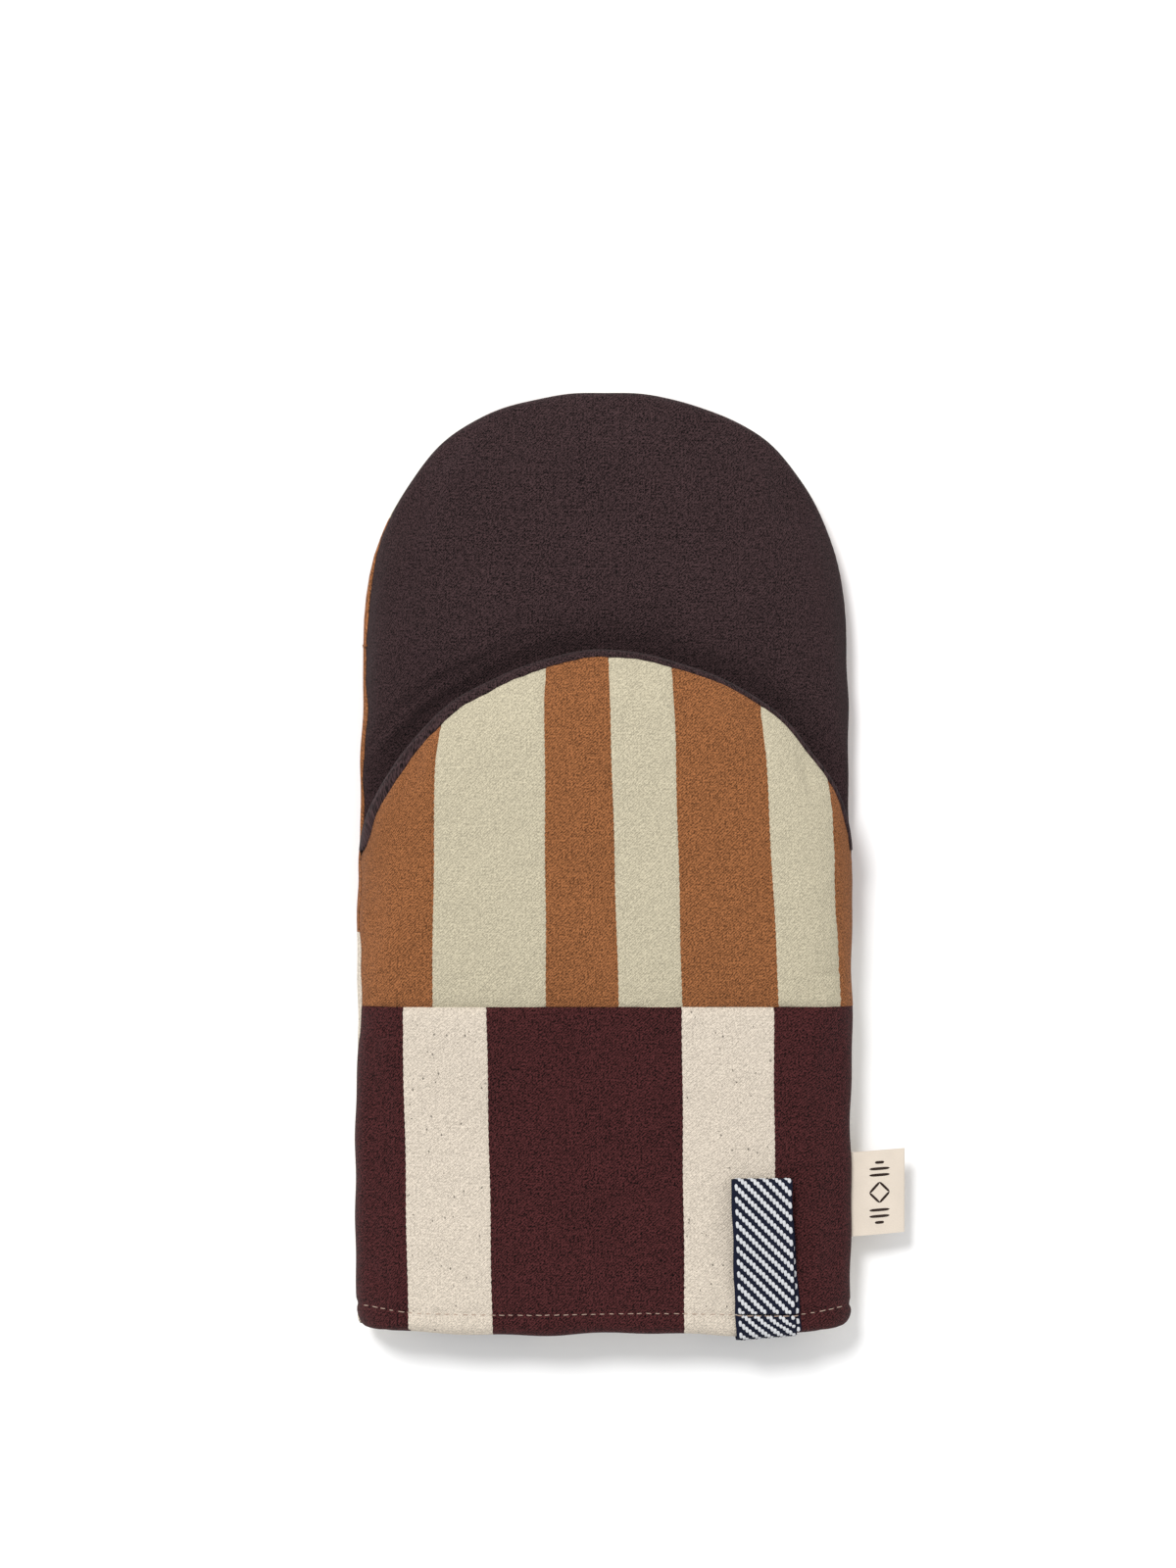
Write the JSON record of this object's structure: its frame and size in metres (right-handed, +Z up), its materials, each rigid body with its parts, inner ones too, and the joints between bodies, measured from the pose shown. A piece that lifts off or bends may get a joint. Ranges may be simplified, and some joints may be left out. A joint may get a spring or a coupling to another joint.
{
  "type": "oven mitt",
  "caption": "Padded patchwork oven mitt of the pinch kind, with a finger pocket, a short thumb pocket, a cuff, a hanging loop and a side label.",
  "frame": {"origin": "on the flat of the back, under the middle of the fold between the finger pocket and the thumb pocket; the mitt lies on its back on z = 0", "axes": "+Y runs from the cuff to the finger tips, +Z up through the thickness from the back to the thumb side, +X across to the side with the label"},
  "size_m": [0.1758, 0.302, 0.0309],
  "materials": {
    "rust_canvas": "matt twill canvas",
    "sage_canvas": "matt plain-weave canvas",
    "burgundy_canvas": "matt plain-weave canvas",
    "natural_canvas": "matt undyed canvas with seed specks",
    "brown_canvas": "matt plain-weave canvas",
    "lining_cotton": "matt plain cotton",
    "wadding_felt": "matt needled felt",
    "twill_tape": "matt two-colour twill tape",
    "label_cotton": "matt woven ribbon",
    "sewing_thread": "matt cotton thread"
  },
  "bodies": {
    "hand": {"front_cuff_strip_1": "burgundy_canvas", "front_cuff_strip_2": "natural_canvas", "front_cuff_strip_3": "burgundy_canvas", "front_cuff_strip_4": "natural_canvas", "front_cuff_strip_5": "burgundy_canvas", "back_dome_strip_1": "rust_canvas", "back_dome_strip_2": "sage_canvas", "back_dome_strip_3": "rust_canvas", "back_dome_strip_4": "sage_canvas", "back_dome_strip_5": "rust_canvas", "back_dome_strip_6": "sage_canvas", "back_dome_strip_7": "rust_canvas", "back_cuff_strip_1": "natural_canvas", "back_cuff_strip_2": "burgundy_canvas", "back_cuff_strip_3": "natural_canvas", "back_cuff_strip_4": "burgundy_canvas", "back_cuff_strip_5": "natural_canvas", "palm_fingers": "brown_canvas", "wadding_back": "wadding_felt", "wadding_front_cuff": "wadding_felt", "wadding_palm_fingers": "wadding_felt", "lining_back": "lining_cotton", "lining_front_cuff": "lining_cotton", "lining_palm_fingers": "lining_cotton", "hem_topstitch": "sewing_thread", "hanging_loop_tails": "twill_tape"},
    "thumb": {"front_dome_strip_1": "rust_canvas", "front_dome_strip_2": "sage_canvas", "front_dome_strip_3": "rust_canvas", "front_dome_strip_4": "sage_canvas", "front_dome_strip_5": "rust_canvas", "front_dome_strip_6": "sage_canvas", "front_dome_strip_7": "rust_canvas", "palm_thumb": "brown_canvas", "wadding_front_thumb": "wadding_felt", "wadding_palm_thumb": "wadding_felt", "lining_front_thumb": "lining_cotton", "lining_palm_thumb": "lining_cotton"},
    "loop": {"hanging_loop": "twill_tape"},
    "label": {"side_label": "label_cotton"}
  },
  "joints": [
    {"name": "thumb_open", "type": "hinge", "parent": "hand", "child": "thumb", "pos_m": [0, 0, 0.01525], "axis": [1, 0, 0], "range_deg": [0, 75], "deforming": ["front_dome_strip_1", "front_dome_strip_2", "front_dome_strip_3", "front_dome_strip_4", "front_dome_strip_5", "front_dome_strip_6", "front_dome_strip_7"]},
    {"name": "loop_swing", "type": "hinge", "parent": "hand", "child": "loop", "pos_m": [0.0504, -0.1428, 0.0264], "axis": [1, 0, 0], "range_deg": [0, 165]},
    {"name": "label_flap", "type": "hinge", "parent": "hand", "child": "label", "pos_m": [0.08022, -0.106, 0.01281], "axis": [0, -1, 0], "range_deg": [-40, 80], "stiffness_Nm_per_rad": 0.001}
  ]
}
